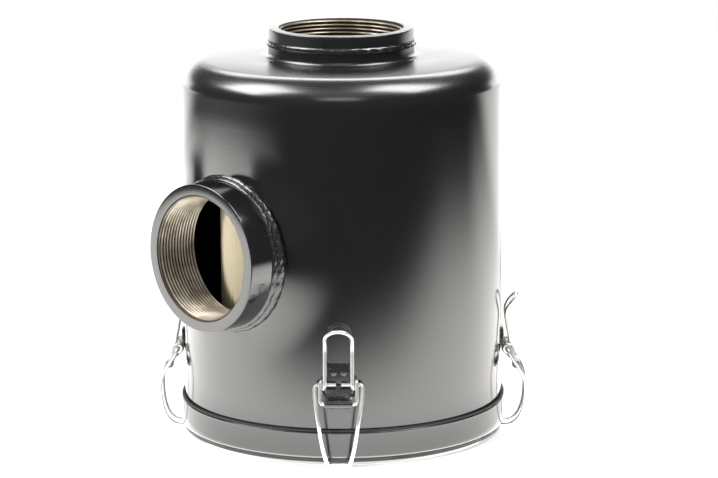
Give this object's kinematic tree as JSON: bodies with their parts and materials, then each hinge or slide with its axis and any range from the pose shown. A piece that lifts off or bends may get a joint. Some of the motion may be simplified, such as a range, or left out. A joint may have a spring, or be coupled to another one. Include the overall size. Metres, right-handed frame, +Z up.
{
  "type": "canister filter",
  "caption": "Upright black steel filter canister with a threaded top outlet, threaded side inlet, wire toggle latches on its lid and a pleated cartridge inside.",
  "frame": {"origin": "centre of the lid's flat underside, on the canister's axis", "axes": "+Z up along the canister's axis out of the outlet; the front latch faces -Y, the right latch +X and the inlet points to -X-Y"},
  "size_m": [0.226, 0.2288, 0.2477],
  "materials": {
    "black_gloss_paint": "gloss black enamel on drawn steel",
    "bracket_paint": "gloss black enamel over spot-welded sheet",
    "black_rubber": "moulded black rubber",
    "cap_plastic": "moulded grey end cap",
    "filter_paper": "pleated cream paper",
    "plated_steel": "perforated plated sheet",
    "latch_wire": "bright zinc-plated spring wire"
  },
  "bodies": {
    "housing": {"canister": "black_gloss_paint", "outlet_socket": "black_gloss_paint", "outlet_weld": "black_gloss_paint", "inlet_socket": "black_gloss_paint", "inlet_weld": "black_gloss_paint", "lid": "black_gloss_paint", "lid_gasket": "black_rubber", "cartridge_top_cap": "cap_plastic", "cartridge_bottom_cap": "cap_plastic", "cartridge_paper": "filter_paper", "cartridge_core": "plated_steel", "cartridge_seal": "black_rubber", "front_bracket": "bracket_paint", "right_bracket": "bracket_paint", "back_bracket": "bracket_paint", "left_bracket": "bracket_paint"},
    "front_lever": {"front_lever": "latch_wire"},
    "front_bail": {"front_bail": "latch_wire"},
    "right_lever": {"right_lever": "latch_wire"},
    "right_bail": {"right_bail": "latch_wire"},
    "back_lever": {"back_lever": "latch_wire"},
    "back_bail": {"back_bail": "latch_wire"},
    "left_lever": {"left_lever": "latch_wire"},
    "left_bail": {"left_bail": "latch_wire"}
  },
  "joints": [
    {"name": "front_lever_hinge", "type": "hinge", "parent": "housing", "child": "front_lever", "pos_m": [0, -0.1061, 0.0404], "axis": [1, 0, 0], "range_deg": [0, 110]},
    {"name": "front_bail_pivot", "type": "hinge", "parent": "front_lever", "child": "front_bail", "pos_m": [0, -0.1009, 0.0508], "axis": [1, 0, 0], "range_deg": [-155, 0]},
    {"name": "right_lever_hinge", "type": "hinge", "parent": "housing", "child": "right_lever", "pos_m": [0.1061, 0, 0.0404], "axis": [0, 1, 0], "range_deg": [0, 110]},
    {"name": "right_bail_pivot", "type": "hinge", "parent": "right_lever", "child": "right_bail", "pos_m": [0.1009, 0, 0.0508], "axis": [0, 1, 0], "range_deg": [-155, 0]},
    {"name": "back_lever_hinge", "type": "hinge", "parent": "housing", "child": "back_lever", "pos_m": [0, 0.1061, 0.0404], "axis": [-1, 0, 0], "range_deg": [0, 110]},
    {"name": "back_bail_pivot", "type": "hinge", "parent": "back_lever", "child": "back_bail", "pos_m": [0, 0.1009, 0.0508], "axis": [-1, 0, 0], "range_deg": [-155, 0]},
    {"name": "left_lever_hinge", "type": "hinge", "parent": "housing", "child": "left_lever", "pos_m": [-0.1061, 0, 0.0404], "axis": [0, -1, 0], "range_deg": [0, 110]},
    {"name": "left_bail_pivot", "type": "hinge", "parent": "left_lever", "child": "left_bail", "pos_m": [-0.1009, 0, 0.0508], "axis": [0, -1, 0], "range_deg": [-155, 0]}
  ],
  "couplings": [
    {"joint": "front_bail_pivot", "follows": "front_lever_hinge", "ratio": -1.4},
    {"joint": "right_bail_pivot", "follows": "right_lever_hinge", "ratio": -1.4},
    {"joint": "back_bail_pivot", "follows": "back_lever_hinge", "ratio": -1.4},
    {"joint": "left_bail_pivot", "follows": "left_lever_hinge", "ratio": -1.4}
  ]
}
